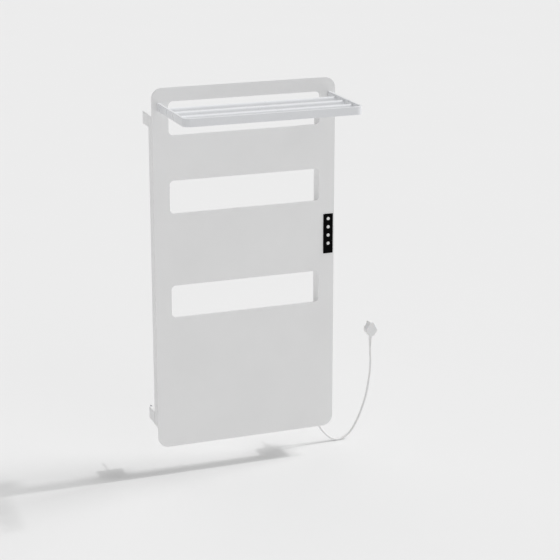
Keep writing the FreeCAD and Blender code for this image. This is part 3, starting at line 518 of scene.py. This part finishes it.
FELT_GRID = 6 * MM
FELT_EDGE = 7 * MM
FELT_QUILT = 24 * MM
FELT_DENT = 1.1 * MM
FELT_LUMP = 0.9 * MM
FELT_LUMP_SIZE = 18 * MM
FELT_WAVE = 0.7 * MM
FELT_WAVE_SIZE = 30 * MM
FELT_ROLL = 0.9
FELT_DEEPEST = 0.92


def bridge(mesh, first, second):
    """Joins two closed loops of vertices with faces."""
    for place in range(len(first)):
        after = (place + 1) % len(first)
        mesh.faces.new((first[place], first[after], second[after], second[place]))


def finish_piece(name, mesh, node):
    """Turns a bmesh into a smooth piece on the root body, in the place of a CAD node."""
    bmesh.ops.recalc_face_normals(mesh, faces=mesh.faces)
    for face in mesh.faces:
        face.smooth = True
    data = bpy.data.meshes.new(name)
    mesh.to_mesh(data)
    mesh.free()
    piece = add_object(name, data)
    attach(piece, ROOT)
    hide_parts(node)
    slot = slot_of(node)
    data.materials.append(MATERIALS[slot])
    return piece


def felt_sink(x, z, size):
    """How far a felt face lies inside its box: a rolled edge, needled dents and soft lumps."""
    half = size.y / 2
    border = min(x, size.x - x, z, size.z - z)
    outside = 1.0 - min(border / FELT_EDGE, 1.0)
    rolled = half * (1.0 - math.sqrt(1.0 - outside**2)) * FELT_ROLL
    dent = abs(math.cos(math.pi * x / FELT_QUILT) * math.cos(math.pi * z / FELT_QUILT)) ** 6
    lump = 0.5 + 0.5 * noise.noise(Vector((x, z, size.y)) / FELT_LUMP_SIZE)
    inner = FELT_DENT * dent + FELT_LUMP * lump
    return min(rolled + inner, half * FELT_DEEPEST)


def felt_face(mesh, low, high, is_front):
    """One quilted face of a pad, pulled in a little at its edges. Returns its rows of vertices."""
    size = high - low
    columns = round(size.x / FELT_GRID)
    rows = round(size.z / FELT_GRID)
    grid = []
    for row in range(rows + 1):
        line = []
        for column in range(columns + 1):
            x = size.x * column / columns
            z = size.z * row / rows
            wave = FELT_WAVE * (1.0 + noise.noise(Vector((x, z, 1.0)) / FELT_WAVE_SIZE))
            pull_x = wave * (1 - 2 * column / columns)
            pull_z = wave * (1 - 2 * row / rows)
            sink = felt_sink(x, z, size)
            y = low.y + sink if is_front else high.y - sink
            line.append(mesh.verts.new((low.x + x + pull_x, y, low.z + z + pull_z)))
        grid.append(line)
    for first, second in zip(grid, grid[1:]):
        for place in range(columns):
            mesh.faces.new((first[place], first[place + 1], second[place + 1], second[place]))
    return grid


def border_of(grid):
    """The vertices round a grid's edge, in order."""
    border = grid[0][:]
    border += [line[-1] for line in grid[1:]]
    border += grid[-1][-2::-1]
    border += [line[0] for line in grid[-2:0:-1]]
    return border


def felt_pad(name, node):
    """A needled pad: two quilted faces that meet in a rolled, slightly wavy edge."""
    low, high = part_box(node)
    mesh = bmesh.new()
    front = border_of(felt_face(mesh, low, high, True))
    back = border_of(felt_face(mesh, low, high, False))
    bridge(mesh, front, back)
    finish_piece(name, mesh, node)


for level in ("upper", "middle", "lower"):
    felt_pad(f"felt_pad_{level}", f"insulation_pad_{level}")

# ---- wall screws -------------------------------------------------------------------------------

SCREW_SEGMENTS = 32
SCREW_PITCH = 2.4 * MM
SCREW_ROOT = 1.7 * MM
SCREW_CREST = 2.5 * MM
SCREW_LENGTH = 57 * MM
SCREW_POINT = 50 * MM
SCREW_HEAD = 4.75 * MM
SCREW_NECK = 1.8 * MM
SCREW_SEAT = -3 * MM
SCREW_SHARPEST = 35
THREAD_START = 1 * MM
THREAD_END = SCREW_LENGTH - 0.6 * MM
THREAD_SINK = 0.93
THREAD_FOOT = 0.55 * MM
THREAD_EDGE = 0.06 * MM


def cross_recess(small, large):
    """A radius that varies with the angle: four lobes, as a cross recess has."""
    return lambda angle: small + (large - small) * abs(math.cos(2 * angle)) ** 5


def ring(mesh, centre, y, radius):
    """Vertices round a line along Y. The radius is a number or a function of the angle."""
    made = []
    for step in range(SCREW_SEGMENTS):
        angle = 2 * math.pi * step / SCREW_SEGMENTS
        reach = radius(angle) if callable(radius) else radius
        place = (centre[0] + reach * math.cos(angle), y, centre[1] + reach * math.sin(angle))
        made.append(mesh.verts.new(place))
    return made


def skin(mesh, loops):
    """A closed surface over a row of loops, with a face at each end."""
    for first, second in zip(loops, loops[1:]):
        bridge(mesh, first, second)
    mesh.faces.new(loops[0][::-1])
    mesh.faces.new(loops[-1])


def screw_thread(mesh, centre):
    """A sharp helical ridge from just under the neck to the point, fading in and out."""
    length = THREAD_END - THREAD_START
    steps = round(length / SCREW_PITCH * SCREW_SEGMENTS)
    sections = []
    for step in range(steps + 1):
        along = THREAD_START + length * step / steps
        angle = 2 * math.pi * step / SCREW_SEGMENTS
        taper = 1.0 - max(0.0, along - SCREW_POINT) / (SCREW_LENGTH - SCREW_POINT)
        grow = min(1.0, step / SCREW_SEGMENTS)
        root = SCREW_ROOT * taper * THREAD_SINK
        crest = root + (SCREW_CREST * taper - root) * grow
        half = THREAD_FOOT * (0.3 + 0.7 * taper)
        outline = ((-half, root), (-THREAD_EDGE, crest), (THREAD_EDGE, crest), (half, root))
        section = []
        for shift, reach in outline:
            x = centre[0] + reach * math.cos(angle)
            z = centre[1] + reach * math.sin(angle)
            section.append(mesh.verts.new((x, along + shift, z)))
        sections.append(section)
    skin(mesh, sections)


def threaded_wall_screws():
    """The four wall screws with their recessed pan heads, bare necks, threads and points."""
    low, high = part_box("wall_screws")
    top = low.y
    # (place along Y, radius) from the floor of the recess over the head and down to the point
    profile = [
        (top + 1.7 * MM, cross_recess(0.35 * MM, 1.0 * MM)),
        (top, cross_recess(0.7 * MM, 2.7 * MM)),
        (top, 3.3 * MM),
        (top + 0.15 * MM, 4.0 * MM),
        (top + 0.6 * MM, 4.5 * MM),
        (top + 1.35 * MM, SCREW_HEAD),
        (SCREW_SEAT - 0.1 * MM, SCREW_HEAD),
        (SCREW_SEAT, SCREW_HEAD - 0.1 * MM),
        (SCREW_SEAT, SCREW_NECK),
        (-0.3 * MM, SCREW_NECK),
        (0.3 * MM, SCREW_ROOT),
        (SCREW_POINT, SCREW_ROOT),
        (SCREW_LENGTH - 1.2 * MM, 0.5 * MM),
        (SCREW_LENGTH, 0.1 * MM),
    ]
    mesh = bmesh.new()
    for x in (low.x + SCREW_HEAD, high.x - SCREW_HEAD):
        for z in (low.z + SCREW_HEAD, high.z - SCREW_HEAD):
            skin(mesh, [ring(mesh, (x, z), y, radius) for y, radius in profile])
            screw_thread(mesh, (x, z))
    piece = finish_piece("threaded_wall_screws", mesh, "wall_screws")
    sharp_edges(piece, SCREW_SHARPEST)


def sharp_edges(piece, degrees):
    """Keeps edges that turn by more than that crisp, on a smooth mesh."""
    mesh = bmesh.new()
    mesh.from_mesh(piece.data)
    for edge in mesh.edges:
        if len(edge.link_faces) == 2 and edge.calc_face_angle(0.0) > math.radians(degrees):
            edge.smooth = False
    mesh.to_mesh(piece.data)
    mesh.free()


threaded_wall_screws()

# ---- floor and light ---------------------------------------------------------------------------

FLOOR_Z = -0.5746
FLOOR_SIZE = 120.0
FLOOR_TONE = 0.793
FLOOR_CLOUD = 1.004
SKY_TONE = 0.445
KEY_ELEVATION = 47.5
KEY_AZIMUTH = -1.1
# Each light is (azimuth from +X towards +Y, elevation, angular width, strength), in degrees. The
# key light is a sharp and a wide part in one direction, so that its shadows fade with distance.
LIGHTS = {
    "key_sharp": (KEY_AZIMUTH, KEY_ELEVATION, 2.0, 0.82),
    "key_wide": (KEY_AZIMUTH, KEY_ELEVATION, 22.0, 1.38),
    "back": (90.0, 55.0, 50.0, 0.26),
    "front": (-75.0, 30.0, 40.0, 0.18),
}


def make_floor():
    mesh = bpy.data.meshes.new("floor")
    half = FLOOR_SIZE / 2
    corners = [(-half, -half, 0), (half, -half, 0), (half, half, 0), (-half, half, 0)]
    mesh.from_pydata(corners, [], [(0, 1, 2, 3)])
    floor = add_object("floor", mesh)
    floor.location = (0.0, 0.0, FLOOR_Z)
    made = Shader("floor_paper")
    tone = (FLOOR_TONE, FLOOR_TONE, FLOOR_TONE)
    made.two_tone(made.noise(0.6, 2.0), 0.3, tone, 0.7, shade(tone, FLOOR_CLOUD))
    made.set(Roughness=0.9, Specular_IOR_Level=0.0)
    mesh.materials.append(made.material)


def make_sun(name, azimuth, elevation, width, strength):
    """A distant light, with its angles in degrees."""
    data = bpy.data.lights.new(name, "SUN")
    data.energy = strength
    data.angle = math.radians(width)
    light = add_object(name, data)
    light.rotation_mode = "QUATERNION"
    light.rotation_quaternion = direction(azimuth, elevation).to_track_quat("Z", "Y")


def make_sky():
    world = bpy.data.worlds.new("studio")
    world.use_nodes = True
    background = world.node_tree.nodes["Background"]
    background.inputs["Color"].default_value = (SKY_TONE, SKY_TONE, SKY_TONE, 1.0)
    background.inputs["Strength"].default_value = 1.0
    bpy.context.scene.world = world


make_floor()
for light_name, angles_and_strength in LIGHTS.items():
    make_sun(light_name, *angles_and_strength)
make_sky()
bpy.context.scene.view_settings.view_transform = "Standard"
